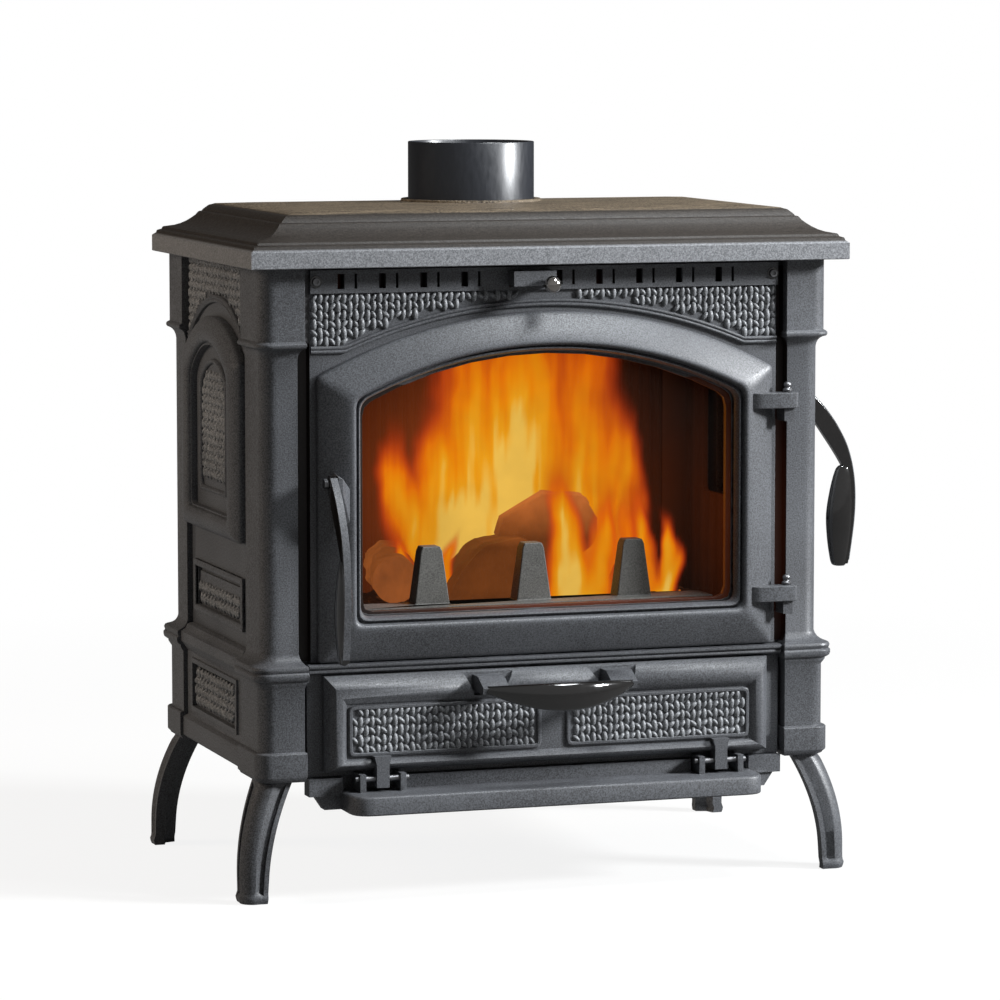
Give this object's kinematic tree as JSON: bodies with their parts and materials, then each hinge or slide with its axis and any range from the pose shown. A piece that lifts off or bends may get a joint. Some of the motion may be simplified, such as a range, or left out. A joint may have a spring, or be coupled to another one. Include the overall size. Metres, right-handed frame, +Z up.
{
  "type": "wood burning stove",
  "caption": "Cast-iron wood burning stove with an arched glazed fire door, side loading door, fold-down ash flap, crowned top with a round flue outlet, and splayed legs.",
  "frame": {"origin": "on the floor, under the middle of the whole width and depth, handles included", "axes": "+Z up; the glazed front faces -Y; +X is to the right of a person facing the front, where the side door is"},
  "size_m": [0.7918, 0.508, 0.852],
  "materials": {
    "cast_iron": "matte graphite-grey stove paint on sand-cast iron",
    "black_enamel": "gloss black enamel",
    "flue_paint": "satin blue-black stove-pipe paint",
    "steel": "turned bright steel",
    "chrome": "polished",
    "ceramic_glass": "clear heat-proof glass",
    "seal_rope": "woven fibre rope"
  },
  "bodies": {
    "stove_body": {"top_plate": "cast_iron", "flue_pipe": "flue_paint", "post_front_left": "cast_iron", "leg_front_left": "cast_iron", "post_front_right": "cast_iron", "leg_front_right": "cast_iron", "post_back_left": "cast_iron", "leg_back_left": "cast_iron", "post_back_right": "cast_iron", "leg_back_right": "cast_iron", "front_plate": "cast_iron", "front_belt": "cast_iron", "arch_trim": "cast_iron", "vent_strip": "cast_iron", "vent_screw_left": "steel", "vent_screw_right": "steel", "door_hinge_lug_upper": "cast_iron", "door_hinge_pin_upper": "steel", "door_hinge_lug_lower": "cast_iron", "door_hinge_pin_lower": "steel", "left_panel": "cast_iron", "left_arch_panel": "cast_iron", "left_plinth": "cast_iron", "right_panel": "cast_iron", "right_plinth": "cast_iron", "side_hinge_lug_upper": "cast_iron", "side_hinge_pin_upper": "steel", "side_hinge_lug_lower": "cast_iron", "side_hinge_pin_lower": "steel", "flap_pin_left": "steel", "flap_pin_right": "steel", "ash_shelf": "cast_iron", "drawer_runner_left": "cast_iron", "drawer_runner_right": "cast_iron", "back_panel": "cast_iron", "base_plate": "cast_iron", "hearth": "cast_iron", "grate": "cast_iron", "log_guard": "cast_iron", "baffle": "cast_iron", "back_lining": "cast_iron", "left_lining": "cast_iron", "right_lining": "cast_iron"},
    "fire_door": {"fire_door": "cast_iron", "door_glass": "ceramic_glass", "glass_retainer": "steel", "door_seal": "seal_rope"},
    "door_handle": {"door_handle": "cast_iron", "door_handle_grip": "black_enamel", "door_handle_pin": "steel"},
    "side_door": {"side_door": "cast_iron"},
    "side_handle": {"side_handle": "cast_iron", "side_handle_grip": "black_enamel", "side_handle_pin": "steel"},
    "ash_flap": {"ash_flap": "cast_iron", "ash_flap_handle": "black_enamel"},
    "ash_drawer": {"ash_drawer": "steel"},
    "air_slider": {"air_slider": "cast_iron", "air_knob": "chrome"}
  },
  "joints": [
    {"name": "fire_door_hinge", "type": "hinge", "parent": "stove_body", "child": "fire_door", "pos_m": [0.266, -0.18, 0.444], "axis": [0, 0, 1], "range_deg": [0, 110]},
    {"name": "door_handle_pivot", "type": "hinge", "parent": "fire_door", "child": "door_handle", "pos_m": [-0.291, -0.194, 0.478], "axis": [-1, 0, 0], "range_deg": [0, 35]},
    {"name": "side_door_hinge", "type": "hinge", "parent": "stove_body", "child": "side_door", "pos_m": [0.325, 0.172, 0.509], "axis": [0, 0, 1], "range_deg": [0, 110]},
    {"name": "side_handle_pivot", "type": "hinge", "parent": "side_door", "child": "side_handle", "pos_m": [0.336, -0.069, 0.546], "axis": [0, -1, 0], "range_deg": [0, 35]},
    {"name": "ash_flap_hinge", "type": "hinge", "parent": "stove_body", "child": "ash_flap", "pos_m": [-0.021, -0.186, 0.138], "axis": [1, 0, 0], "range_deg": [0, 90]},
    {"name": "ash_drawer_slide", "type": "slide", "parent": "stove_body", "child": "ash_drawer", "axis": [0, -1, 0], "range_m": [0, 0.112]},
    {"name": "air_slide", "type": "slide", "parent": "stove_body", "child": "air_slider", "axis": [-1, 0, 0], "range_m": [0, 0.04]}
  ],
  "couplings": [
    {"joint": "ash_drawer_slide", "follows": "ash_flap_hinge", "m_per_rad": 0.07}
  ]
}
